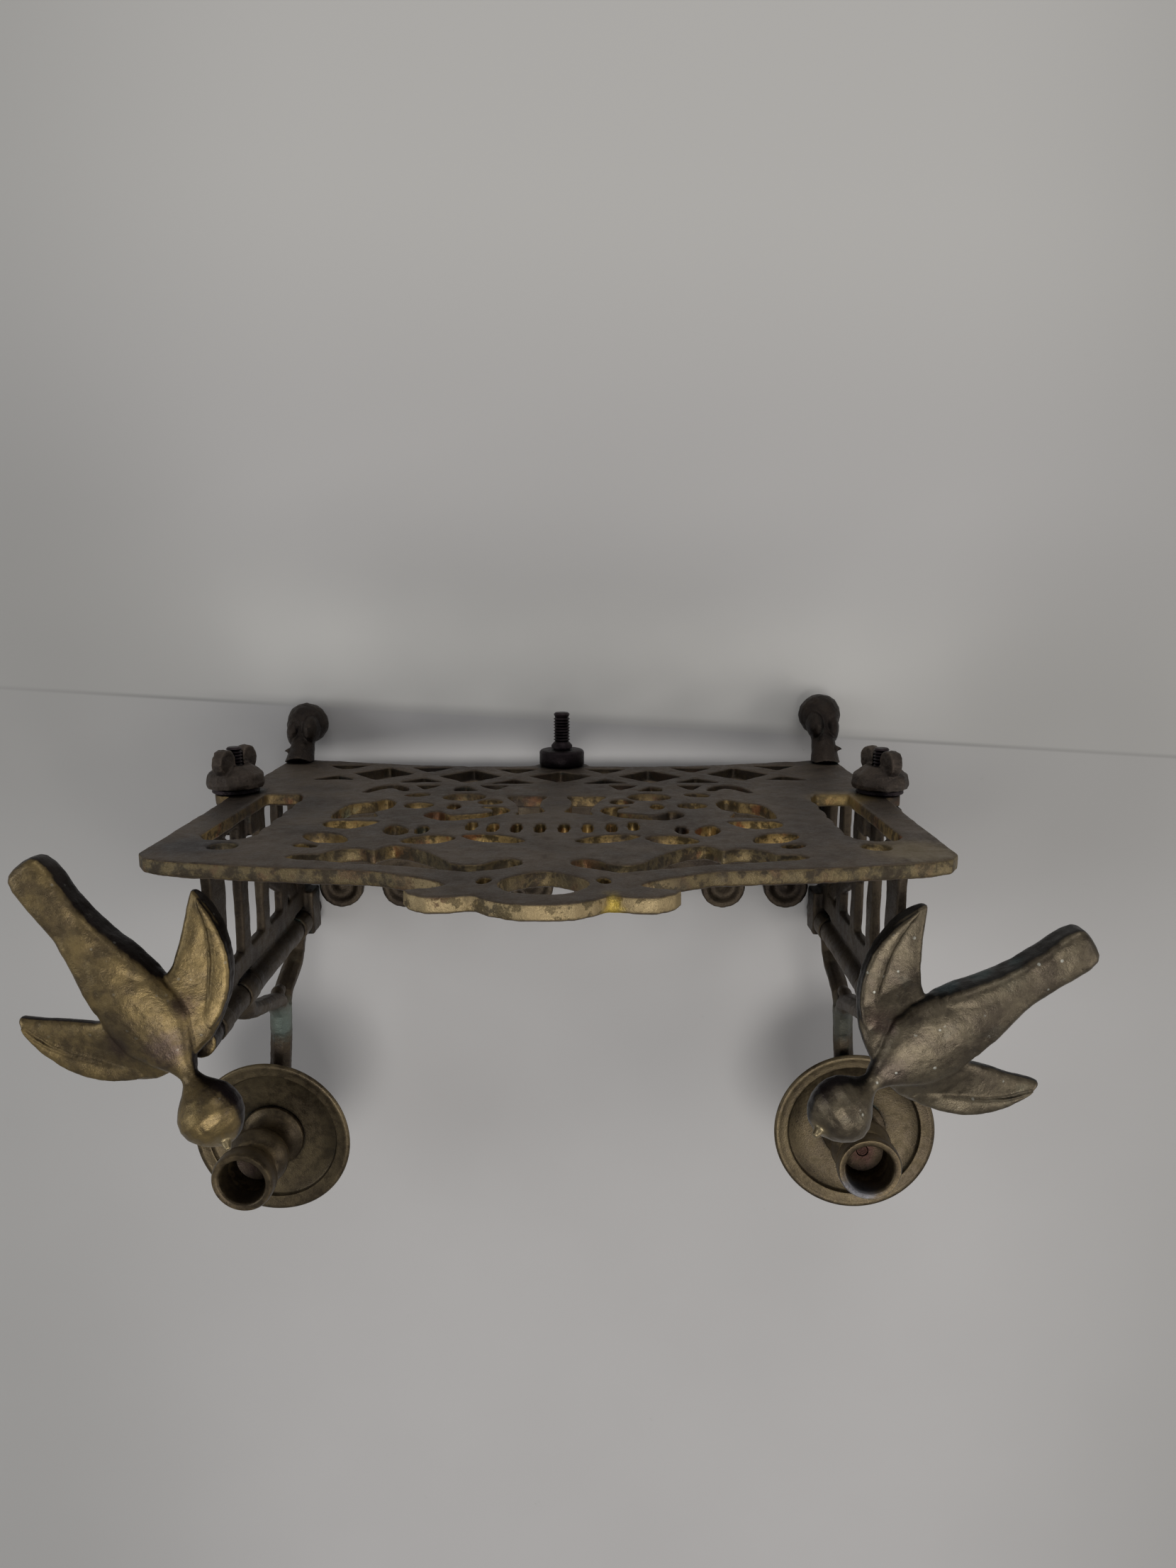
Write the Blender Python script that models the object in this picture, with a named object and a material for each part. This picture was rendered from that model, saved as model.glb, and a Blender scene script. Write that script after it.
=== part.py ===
"""Bible stand: pierced back plate, openwork side panels, ledge, swinging candle arms and birds.

Metres, +Z up, the floor at z = 0. The reader stands at -Y. The pieces are laid out with the back of
the plate at y = 0, and at the end all are moved so that the origin is under the middle of the stand.
"""

import math

import bmesh
import bpy
from mathutils import Matrix, Vector

MM = 0.001
GAP = 0.3 * MM

# back plate
PLATE_T = 5 * MM
SHOULDER_Z = 196 * MM
PLATE_HALF_W = 124 * MM
STUD_X, STUD_Z = 124.5 * MM, 96 * MM
CENTRE_Z = 33 * MM
# side panels and ledge
PANEL_X, PANEL_T = 122 * MM, 3.6 * MM
PANEL_TOP, PANEL_BOTTOM = 147 * MM, 6 * MM
PANEL_FRONT = 69 * MM
LEDGE_Z, LEDGE_T = 8 * MM, 4 * MM
ROUNDEL_R, ROUNDEL_Y = 10.5 * MM, -61 * MM
# candle arms
PIN_X, PIN_Y, PIN_R = 122 * MM, -76 * MM, 3 * MM
ARM_REACH = {"left": 90 * MM, "right": 85.5 * MM}
ARM_TURN = {"left": -5.5, "right": 5.5}
PAN_R, PAN_Z = 35.5 * MM, 50 * MM
NOZZLE_H = 40 * MM
PAN_LEAN = {"left": (4.5, (0.42, -0.9)), "right": (4.2, (-0.75, -0.66))}
# birds
BIRD_Z = 158 * MM
BIRD_TURN = {"left": 36.5, "right": -56.5}
BIRD_SHIFT = {"left": (-5.5, 12), "right": (1, 0)}
# rear feet
BALL_R = 9.5 * MM
BALL_Y = {"left": 15.5 * MM, "right": 20 * MM}

SIDES = {"left": -1, "right": 1}


def clear_scene():
    for obj in list(bpy.data.objects):
        bpy.data.objects.remove(obj, do_unlink=True)


def material(name, colour, metallic=0.9, rough=0.45):
    found = bpy.data.materials.get(name) or bpy.data.materials.new(name)
    found.use_nodes = True
    shader = found.node_tree.nodes["Principled BSDF"]
    shader.inputs["Base Color"].default_value = (*colour, 1)
    shader.inputs["Metallic"].default_value = metallic
    shader.inputs["Roughness"].default_value = rough
    return found


def as_object(name, bm):
    bmesh.ops.remove_doubles(bm, verts=bm.verts, dist=1e-6)
    bmesh.ops.recalc_face_normals(bm, faces=bm.faces)
    mesh = bpy.data.meshes.new(name)
    bm.to_mesh(mesh)
    bm.free()
    obj = bpy.data.objects.new(name, mesh)
    bpy.context.scene.collection.objects.link(obj)
    return obj


def box(x0, x1, y0, y1, z0, z1, name="box"):
    bm = bmesh.new()
    size = Matrix.Diagonal((x1 - x0, y1 - y0, z1 - z0, 1))
    centre = Matrix.Translation(((x0 + x1) / 2, (y0 + y1) / 2, (z0 + z1) / 2))
    bmesh.ops.create_cube(bm, size=1, matrix=centre @ size)
    return as_object(name, bm)


def lathe(profile, steps=20, at=(0, 0, 0), axis="Z", name="turned"):
    """A closed (radius, height) profile turned about the axis; radius 0 ends close on it."""
    bm = bmesh.new()
    rings = []
    for r, h in profile:
        if r < 1e-7:
            rings.append([bm.verts.new((0, 0, h))])
            continue
        turn = [2 * math.pi * i / steps for i in range(steps)]
        rings.append([bm.verts.new((r * math.cos(a), r * math.sin(a), h)) for a in turn])
    pairs = list(zip(rings, rings[1:] + rings[:1]))
    if len(rings[0]) == 1 and len(rings[-1]) == 1:
        pairs = pairs[:-1]
    for a, b in pairs:
        for i in range(steps):
            j = (i + 1) % steps
            quad = [a[i % len(a)], a[j % len(a)], b[j % len(b)], b[i % len(b)]]
            corners = list(dict.fromkeys(quad))
            if len(corners) > 2:
                bm.faces.new(corners)
    if axis == "Y":
        bm.transform(Matrix.Rotation(-math.pi / 2, 4, "X"))
    bm.transform(Matrix.Translation(at))
    return as_object(name, bm)


def sheet(outline, holes, thickness, name="sheet"):
    """A flat shape with holes in the XY plane, centred on z = 0."""
    curve = bpy.data.curves.new(name, "CURVE")
    curve.dimensions = "2D"
    curve.fill_mode = "BOTH"
    curve.extrude = thickness / 2
    for points in [outline, *holes]:
        spline = curve.splines.new("POLY")
        spline.points.add(len(points) - 1)
        for point, (x, y) in zip(spline.points, points):
            point.co = (x, y, 0, 1)
        spline.use_cyclic_u = True
    shape = bpy.data.objects.new(name, curve)
    bpy.context.scene.collection.objects.link(shape)
    graph = bpy.context.evaluated_depsgraph_get()
    mesh = bpy.data.meshes.new_from_object(shape.evaluated_get(graph))
    bpy.data.objects.remove(shape)
    bm = bmesh.new()
    bm.from_mesh(mesh)
    bpy.data.meshes.remove(mesh)
    bmesh.ops.remove_doubles(bm, verts=bm.verts, dist=2e-6)
    return as_object(name, bm)


def place(obj, matrix):
    obj.data.transform(matrix)
    if matrix.determinant() < 0:
        obj.data.flip_normals()
    return obj


def boolean(target, others, operation):
    """Joins or cuts the others into the target and removes them."""
    for other in others:
        modifier = target.modifiers.new(operation.title(), "BOOLEAN")
        modifier.operation = operation
        modifier.solver = "EXACT"
        modifier.object = other
        graph = bpy.context.evaluated_depsgraph_get()
        mesh = bpy.data.meshes.new_from_object(target.evaluated_get(graph))
        target.modifiers.clear()
        target.data = mesh
        bpy.data.objects.remove(other)
    return target


def finish(obj, name, mat, origin=(0, 0, 0)):
    obj.name = name
    obj.data.name = name
    obj.data.materials.clear()
    obj.data.materials.append(mat)
    obj.data.transform(Matrix.Translation(-Vector(origin)))
    obj.location = origin
    return obj


def smooth_loop(points, per=3):
    """A closed Catmull-Rom curve through the points."""
    out, n = [], len(points)
    for i in range(n):
        p0, p1, p2, p3 = (Vector(points[(i + k) % n]) for k in (-1, 0, 1, 2))
        for j in range(per):
            t = j / per
            out.append(tuple(0.5 * (2 * p1 + (p2 - p0) * t + (2 * p0 - 5 * p1 + 4 * p2 - p3) * t * t
                                    + (3 * p1 - p0 - 3 * p2 + p3) * t ** 3)))
    return out


def mirrored(points):
    return [(-x, y) for x, y in reversed(points)]


def millimetres(points):
    """(across, below the shoulder) in millimetres to (x, z) in metres."""
    return [(x * MM, SHOULDER_Z - s * MM) for x, s in points]


def oval(x, s, rx, ry, turn=0, steps=12, pointed=0.0):
    """An ellipse in plate millimetres; pointed pinches its two ends into a leaf."""
    out = []
    for i in range(steps):
        a = 2 * math.pi * i / steps
        u, v = rx * math.cos(a), ry * math.sin(a) * (1 - pointed * abs(math.cos(a)) ** 2)
        c, d = math.cos(math.radians(turn)), math.sin(math.radians(turn))
        out.append((x + u * c - v * d, s + u * d + v * c))
    return out


def polygon(*points):
    return list(points)


def arc(radius, first, last, step):
    """Points on a circle, counted in degrees from straight down."""
    turns = [math.radians(a) for a in range(first, last + 1, step)]
    return [(radius * math.sin(a), radius * math.cos(a)) for a in turns]


def plate_outline():
    boss = [(x, 163 + s) for x, s in arc(12, 0, 90, 15)]
    low = [(16, 161.5), (40, 161.5), (62, 164), (82, 169), (98, 174), (112, 178), (124, 179)]
    ear = [(124.5 + x, 100 + s) for x, s in arc(8, 0, 180, 30)]
    top = [(124, 2), (120.5, -4), (114, -7.5), (104, -10), (90, -12.8), (74, -15.4), (58, -17.2), (48, -18.9),
           (41, -22.5), (33.5, -26.5), (28.5, -30), (26.6, -33), (30, -35.8), (37.5, -37.4), (35.5, -41.6),
           (30.5, -45.4), (24.5, -45.4), (18, -43.2), (14.2, -47.4), (9.2, -50.6), (4, -52)]
    half = boss + low + ear + top
    return millimetres(half + mirrored(half[1:]))


def plate_openings():
    """The pierced pattern of one half, in plate millimetres."""
    rail = [(79, -2.5), (74, -5), (64, -7.2), (54, -9.6), (42, -12.6), (33, -15.6), (27, -17.6),
            (21.5, -19.6), (17, -17), (11, -14), (7, -10.5), (7.3, -6.2), (11, -3.4), (15, -5.6),
            (18.5, -10.6), (24, -11.8), (28.4, -9.2), (32, -2.6), (37, 4.6), (43.5, 11), (49, 13.2),
            (52, 9.2), (53.4, 5.6), (57.5, 9), (62.5, 8.8), (67, 5), (69, 1.2), (76, 1.2)]
    spray = smooth_loop([(75.5, 18.5), (70.5, 16.2), (64.8, 17), (65.5, 23.5), (71, 30), (78, 30.4),
                         (80.4, 26)], 2)
    shell = smooth_loop([(68, 36.4), (75.6, 39.6), (78, 45.5), (74, 49.6), (66, 49.2), (59.4, 47.6),
                         (63, 40.8)], 2)
    cross = smooth_loop([(77, 52.6), (69, 54.4), (61.2, 55.4), (64.2, 63), (60, 69), (59, 80), (63.6, 87.4),
                         (68, 82.4), (75, 77.5), (77.6, 66)], 2)
    hook = smooth_loop([(45.4, 57), (38, 49.8), (29, 52), (20.5, 57.4), (16.2, 65), (18.5, 72.4), (28, 73.4),
                        (23, 69.6), (22.6, 63.6), (31, 59.8), (36.6, 58.6), (41, 65.2), (45, 62.4)], 2)
    vase = smooth_loop([(14, 58.4), (12.6, 65), (14, 76), (16.8, 86), (18.6, 93), (11, 93), (3.6, 92.6),
                        (5.8, 84), (5.6, 73), (3.4, 65), (8, 61.4)], 2)
    crescent = smooth_loop([(58.6, 103), (59.4, 110.5), (65.5, 117), (72.5, 112.5), (75.8, 101), (73.4, 100),
                            (69.6, 106.8), (65, 109.2), (61.6, 104.4)], 2)
    holes = [
        rail, spray, shell, cross, hook, vase, crescent,
        oval(76, 12.6, 4.6, 2.6, 25, 8), oval(39, 21, 9, 6.2, -20, 12, 0.3),
        oval(18.5, 22.6, 11.6, 5.2, 22, 12, 0.3),
        oval(51.6, 34.4, 8.4, 4.2, 78, 12, 0.4), oval(43, 35.2, 2.3, 6.6, 0, 8),
        oval(50, 75.4, 5.6, 5.4), oval(24.4, 82, 4.7, 5.2, 0, 10), oval(37, 73.6, 2.6, 5.4, 0, 8),
        oval(35, 91.4, 8.4, 7.4), oval(53.4, 95.4, 5.2, 3.8, -20, 8),
        oval(101.5, 11.4, 4.8, 4.9, 0, 14), oval(16.6, -28.2, 2, 3.8, 10, 8),
        polygon((30.6, 103), (40.6, 103), (41, 109.6), (36.6, 113.6), (33.6, 109)),
        polygon((24.2, 105.6), (29, 111), (31.8, 116), (19.8, 116)),
        polygon((52.4, 106.6), (57.4, 116), (46.8, 116)),
    ]
    holes += [oval(x, s, 2.1, 7.9, 0, 8) for x, s in ((4, 38), (11.9, 38), (19.8, 38.6), (27.2, 41))]
    side = [(113.4, 26), (110, 20), (104, 19.4), (98, 22)]
    side += [(95.4 + 0.9 * (i % 2), 28 + 7 * i) for i in range(10)] + [(99, 97), (112, 97)]
    holes.append(side)
    for x, drop in ((18.75, 0), (56.25, 3), (93.5, 9)):
        holes.append(polygon((x - 9.4, 119.4 + drop), (x + 9.4, 119.4 + drop), (x, 130 + drop)))
        holes.append(polygon((x - 9.6, 155 + drop), (x, 143 + drop), (x + 9.6, 155 + drop)))
    for x, drop in ((37.5, 0), (75, 6)):
        holes.append(polygon((x, 121.4 + drop), (x + 13, 136.6 + drop), (x, 152 + drop),
                             (x - 13, 136.6 + drop)))
    return holes


def back_plate(mat):
    right = plate_openings()
    middle = [
        smooth_loop([(0, -18.4), (6.5, -22), (11, -26.4), (12.6, -32), (9.6, -38.6), (4, -41.6), (-4, -41.6),
                     (-9.6, -38.6), (-12.6, -32), (-11, -26.4), (-6.5, -22)], 2),
        polygon((0, 121.4), (13, 136.6), (0, 148), (-13, 136.6)),
        oval(0, 163, 3.9, 3.9, 0, 16),
    ]
    stud = oval(124.5, 100, 3.4, 3.4)
    holes = right + [mirrored(h) for h in right] + middle + [stud, mirrored(stud)]
    obj = sheet(plate_outline(), [millimetres(h) for h in holes], PLATE_T)
    place(obj, Matrix.Translation((0, -PLATE_T / 2, 0)) @ Matrix.Rotation(math.pi / 2, 4, "X"))
    return finish(obj, "back_plate", mat)


def side_panel(side, mat):
    """Drawn in the (forward, up) plane, then turned into place."""
    rear, front = 5.3, PANEL_FRONT / MM
    outline = [(rear, 12), (rear + 4, 6), (front, 6), (front, 147), (front - 6, 147), (44, 143.5),
               (24, 143.5), (rear + 3, 147), (rear, 147)]
    holes = [[(11, z), (60, z), (60, z + 18), (11, z + 18)] for z in (28.5, 55.5, 82.5, 109.5)]
    scale = [[(a * MM, b * MM) for a, b in loop] for loop in [outline, *holes]]
    obj = sheet(scale[0], scale[1:], PANEL_T)
    turn = Matrix(((0, 0, 1, SIDES[side] * PANEL_X), (-1, 0, 0, 0), (0, 1, 0, 0), (0, 0, 0, 1)))
    place(obj, turn)
    x = SIDES[side] * PANEL_X
    inner, outer = x - PANEL_T / 2 + 0.6 * MM, x + PANEL_T / 2 - 0.6 * MM
    strap = box(inner, outer, -4 * MM, 4 * MM, -56 * MM, 56 * MM)
    place(strap, Matrix.Translation((0, -38 * MM, 76 * MM)) @ Matrix.Rotation(math.radians(-25), 4, "X"))
    lo, hi = sorted((SIDES[side] * 117.5 * MM, SIDES[side] * 132 * MM))
    boss = box(lo, hi, -16 * MM, -PLATE_T - GAP, STUD_Z - 6 * MM, STUD_Z + 6 * MM)
    base = box(x - 6 * MM, x + 6 * MM, PIN_Y - 6 * MM, -62 * MM, 6 * MM, 20 * MM)
    lug = lathe([(0, 138 * MM), (6 * MM, 138 * MM), (6 * MM, 147 * MM), (0, 147 * MM)], 16, (x, PIN_Y, 0))
    neck = box(x - 3.5 * MM, x + 3.5 * MM, PIN_Y, -66 * MM, 138 * MM, 147 * MM)
    barrels = []
    for z0, z1 in ((18, 20.6), (33.6, 103.4), (116.6, 140)):
        barrels.append(lathe([(0, z0 * MM), (5.4 * MM, z0 * MM), (5.4 * MM, z1 * MM), (0, z1 * MM)], 16,
                             (x, PIN_Y, 0)))
    for z0, z1 in ((36, 101), (119, 139)):
        barrels.append(box(x - 1.2 * MM, x + 1.2 * MM, PIN_Y + MM, -66 * MM, z0 * MM, z1 * MM))
    boolean(obj, [strap, boss, base, lug, neck, *barrels], "UNION")
    bore = lathe([(0, 0), (PIN_R + GAP, 0), (PIN_R + GAP, 160 * MM), (0, 160 * MM)], 20, (x, PIN_Y, 0))
    stud = lathe([(0, -0.02), (3.3 * MM, -0.02), (3.3 * MM, 0.02), (0, 0.02)], 16,
                 (SIDES[side] * STUD_X, 0, STUD_Z), "Y")
    boolean(obj, [bore, stud], "DIFFERENCE")
    return finish(obj, f"side_panel_{side}", mat, (x, -PANEL_FRONT / 2, PANEL_BOTTOM))


def ledge(mat):
    """A shelf whose front edge is a row of flat roundels."""
    half = PANEL_X - PANEL_T / 2 - GAP
    roundels = [15, 45, 75, 104.5]
    outline = [(-half, -6 * MM), (-half, -56 * MM), (half, -56 * MM), (half, -6 * MM)]
    holes = []
    for x in [s * v * MM for v in roundels for s in (-1, 1)]:
        x0, x1, y0, y1 = x - 9 * MM, x + 9 * MM, -45 * MM, -22 * MM
        holes.append([(x0, y0), (x1, y0), (x1, y1), (x0, y1)])
    obj = sheet(outline, holes, LEDGE_T)
    place(obj, Matrix.Translation((0, 0, LEDGE_Z + LEDGE_T / 2)))
    top, r = LEDGE_Z + LEDGE_T, ROUNDEL_R
    for x in [s * v * MM for v in roundels for s in (-1, 1)]:
        profile = [(0, LEDGE_Z - MM), (r, LEDGE_Z - MM), (r, top + 0.6 * MM), (0.72 * r, top + 0.6 * MM),
                   (0.6 * r, top - 1.2 * MM), (0.4 * r, top - 1.2 * MM), (0, top + 1.2 * MM)]
        boolean(obj, [lathe(profile, 16, (x, ROUNDEL_Y, 0))], "UNION")
    return finish(obj, "ledge", mat, (0, -30 * MM, LEDGE_Z))


def rear_foot(side, mat):
    """A ball on a tapered neck that runs down and back from the plate's corner."""
    s = SIDES[side]
    start = Vector((s * 118 * MM, GAP, 24 * MM))
    ball = Vector((s * 117.5 * MM, BALL_Y[side], BALL_R - 0.2 * MM))
    bm = bmesh.new()
    bmesh.ops.create_uvsphere(bm, u_segments=16, v_segments=10, radius=BALL_R,
                              matrix=Matrix.Translation(ball))
    obj = as_object("ball", bm)
    along = ball - start
    neck = lathe([(0, -3 * MM), (6.6 * MM, -3 * MM), (5 * MM, 0.5 * along.length), (6.4 * MM, along.length),
                  (0, along.length)], 20)
    place(neck, Matrix.Translation(start) @ along.to_track_quat("Z", "Y").to_matrix().to_4x4())
    spur = lathe([(0, 0), (3.6 * MM, 0), (0, 9 * MM)], 12)
    place(spur, Matrix.Translation(start + 0.3 * along) @ Matrix.Rotation(s * math.radians(62), 4, "Y"))
    boolean(obj, [neck, spur], "UNION")
    flat = box(-0.2, 0.2, -0.05, GAP, -0.05, 0.1)
    boolean(obj, [flat], "DIFFERENCE")
    below = box(-0.2, 0.2, -0.05, 0.1, -0.05, 0)
    boolean(obj, [below], "DIFFERENCE")
    return finish(obj, f"rear_foot_{side}", mat, ball)


def front_foot(side, mat):
    profile = [(0, 0), (4.6 * MM, 0), (5.6 * MM, 2 * MM), (4.4 * MM, 4.4 * MM), (4.4 * MM, 5.7 * MM),
               (0, 5.7 * MM)]
    at = (SIDES[side] * PANEL_X, -74 * MM, 0)
    return finish(lathe(profile, 16, at), f"front_foot_{side}", mat, at)


def plate_stud(side, mat):
    at = (SIDES[side] * STUD_X, 0, STUD_Z)
    profile = [(0, -15.6 * MM), (3 * MM, -15.6 * MM), (3 * MM, 17 * MM), (2.4 * MM, 17.6 * MM),
               (0, 17.6 * MM)]
    return finish(lathe(profile, 14, at, "Y"), f"plate_stud_{side}", mat, at)


def washer(side, mat):
    at = (SIDES[side] * STUD_X, 0, STUD_Z)
    profile = [(3.4 * MM, GAP), (9 * MM, GAP), (9 * MM, 1.8 * MM), (3.4 * MM, 1.8 * MM)]
    return finish(lathe(profile, 18, at, "Y"), f"washer_{side}", mat, at)


def wing_nut(side, mat):
    """A thick round base with two rounded ears."""
    at = Vector((SIDES[side] * STUD_X, 0, STUD_Z))
    obj = lathe([(0, 2.1 * MM), (10.4 * MM, 2.1 * MM), (11 * MM, 4 * MM), (10.4 * MM, 7.4 * MM),
                 (6 * MM, 11 * MM),
                 (0, 11 * MM)], 16, at, "Y")
    for end in (-1, 1):
        ear = lathe([(0, -2.2 * MM), (5 * MM, -2.2 * MM), (5.4 * MM, 0), (5 * MM, 2.2 * MM),
                     (0, 2.2 * MM)], 12)
        lean = Matrix.Rotation(math.radians(15 * SIDES[side]), 4, "Y")
        place(ear, Matrix.Translation(at) @ lean @ Matrix.Translation((0, 12.4 * MM, end * 7.4 * MM))
              @ Matrix.Rotation(math.pi / 2, 4, "Y"))
        boolean(obj, [ear], "UNION")
    bore = lathe([(0, -0.02), (3.3 * MM, -0.02), (3.3 * MM, 0.03), (0, 0.03)], 20, at, "Y")
    boolean(obj, [bore], "DIFFERENCE")
    return finish(obj, f"wing_nut_{side}", mat, at)


def centre_stud(mat):
    at = (0, 0, CENTRE_Z)
    profile = [(0, -9 * MM), (7.5 * MM, -9 * MM), (7.5 * MM, -PLATE_T - GAP), (3.5 * MM, -PLATE_T - GAP),
               (3.5 * MM, 7.7 * MM), (4.6 * MM, 8 * MM), (3.5 * MM, 14.5 * MM), (3.5 * MM, 23 * MM),
               (3 * MM, 23.6 * MM),
               (0, 23.6 * MM)]
    return finish(lathe(profile, 18, at, "Y"), "centre_stud", mat, at)


def centre_nut(mat):
    at = (0, 0, CENTRE_Z)
    profile = [(3.8 * MM, GAP), (9.4 * MM, GAP), (9.8 * MM, MM), (9.8 * MM, 6.6 * MM),
               (9.2 * MM, 7.3 * MM), (3.8 * MM, 7.3 * MM)]
    return finish(lathe(profile, 20, at, "Y"), "centre_nut", mat, at)


def hinge_pin(side, mat):
    at = (SIDES[side] * PIN_X, PIN_Y, 0)
    profile = [(0, 7 * MM), (PIN_R, 7 * MM), (PIN_R, 147.4 * MM), (5 * MM, 147.4 * MM), (5 * MM, 149.4 * MM),
               (PIN_R, 149.4 * MM), (PIN_R, 156 * MM), (0, 156 * MM)]
    return finish(lathe(profile, 16, at), f"hinge_pin_{side}", mat, at)


def swing(side):
    """Turns a candle arm drawn straight forward from its pin into its rest direction."""
    pin = Vector((SIDES[side] * PIN_X, PIN_Y, 0))
    return Matrix.Translation(pin) @ Matrix.Rotation(math.radians(ARM_TURN[side]), 4, "Z")


def candle_bracket(side, mat):
    """Two prongs from eyes on the pin that meet in one stem, ending in a pad under the pan."""
    upper = [(4, 110), (10, 105), (14.5, 92), (19, 74), (24, 58), (32, 50), (42, 46.9)]
    lower = [(4, 27), (11, 27), (17, 32), (20.5, 40), (24, 46), (30, 48), (38, 47.3)]
    reach = ARM_REACH[side]
    stem = [(29, 49.2), (44, 45.6), (58, 44.2), (reach / MM - 5, 44.2)]
    parts = []
    for path, wide, half in ((upper, 4.7, 3.6), (lower, 4.4, 3.5), (stem, 4.9, 4)):
        line = [Vector((0, -a * MM, b * MM)) for a, b in path]
        bm = bmesh.new()
        rings = []
        for i, p in enumerate(line):
            tangent = (line[min(i + 1, len(line) - 1)] - line[max(i - 1, 0)]).normalized()
            normal = Vector((1, 0, 0)).cross(tangent)
            ring = oval(0, 0, wide * MM, half * MM, 22.5, 8)
            rings.append([bm.verts.new(p + Vector((1, 0, 0)) * u + normal * v) for u, v in ring])
        for a, b in zip(rings, rings[1:]):
            for i in range(8):
                bm.faces.new((a[i], a[(i + 1) % 8], b[(i + 1) % 8], b[i]))
        bm.faces.new(rings[0])
        bm.faces.new(rings[-1])
        parts.append(as_object("prong", bm))
    for z in (110, 27):
        lo, hi = (z - 6) * MM, (z + 6) * MM
        parts.append(lathe([(0, lo), (6 * MM, lo), (6 * MM, hi), (0, hi)], 16))
    bud = [(0, 0), (2.6 * MM, 0), (3 * MM, 5 * MM), (1.8 * MM, 8 * MM), (0, 8.6 * MM)]
    top = PAN_Z - 1.1 * MM
    pad = [(4 * MM, 41 * MM), (8 * MM, 41 * MM), (8 * MM, top), (4 * MM, top)]
    parts.append(lathe(bud, 12, (0, -21 * MM, 52 * MM)))
    parts.append(lathe(pad, 18, (0, -reach, 0)))
    obj = boolean(parts[0], parts[1:], "UNION")
    hole = lathe([(0, 0), (PIN_R + GAP, 0), (PIN_R + GAP, 0.15), (0, 0.15)], 20)
    boolean(obj, [hole], "DIFFERENCE")
    place(obj, swing(side))
    return finish(obj, f"candle_bracket_{side}", mat, (SIDES[side] * PIN_X, PIN_Y, 0))


def pan_centre(side):
    return swing(side) @ Vector((0, -ARM_REACH[side], 0))


def on_pan(side, profile, steps):
    """A turned piece on the pan's axis, which leans a little from upright."""
    degrees, axis = PAN_LEAN[side]
    centre = pan_centre(side)
    obj = lathe([(r, z - PAN_Z) for r, z in profile], steps)
    lean = Matrix.Rotation(math.radians(degrees), 4, Vector((*axis, 0)))
    return place(obj, Matrix.Translation(centre + Vector((0, 0, PAN_Z))) @ lean)


def drip_pan(side, mat):
    r, z = PAN_R, PAN_Z
    profile = [(2.6 * MM, z), (12 * MM, z), (0.8 * r, z + 1.5 * MM), (r - MM, z + 4.5 * MM),
               (r, z + 6 * MM), (r - MM, z + 7 * MM),
               (0.84 * r, z + 6.6 * MM), (0.81 * r, z + 4.6 * MM), (0.5 * r, z + 3.8 * MM),
               (2.6 * MM, z + 3.6 * MM)]
    return finish(on_pan(side, profile, 32), f"drip_pan_{side}", mat, pan_centre(side))


def candle_nozzle(side, mat):
    z, top = PAN_Z + 3.9 * MM, PAN_Z + 3.6 * MM + NOZZLE_H
    profile = [(2.6 * MM, z), (14 * MM, z), (14 * MM, z + 2.4 * MM), (8.4 * MM, z + 9 * MM),
               (13 * MM, z + 18 * MM), (9.4 * MM, z + 25 * MM), (13.3 * MM, z + 33 * MM),
               (13.3 * MM, top), (9.8 * MM, top), (9.6 * MM, top - 18 * MM), (2.6 * MM, top - 18 * MM)]
    return finish(on_pan(side, profile, 24), f"candle_nozzle_{side}", mat, pan_centre(side))


def pan_screw(side, mat):
    profile = [(0, 36 * MM), (5 * MM, 36 * MM), (5 * MM, 39.2 * MM), (2.2 * MM, 39.2 * MM),
               (2.2 * MM, 74 * MM), (0, 74 * MM)]
    return finish(on_pan(side, profile, 14), f"pan_screw_{side}", mat, pan_centre(side))


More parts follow.
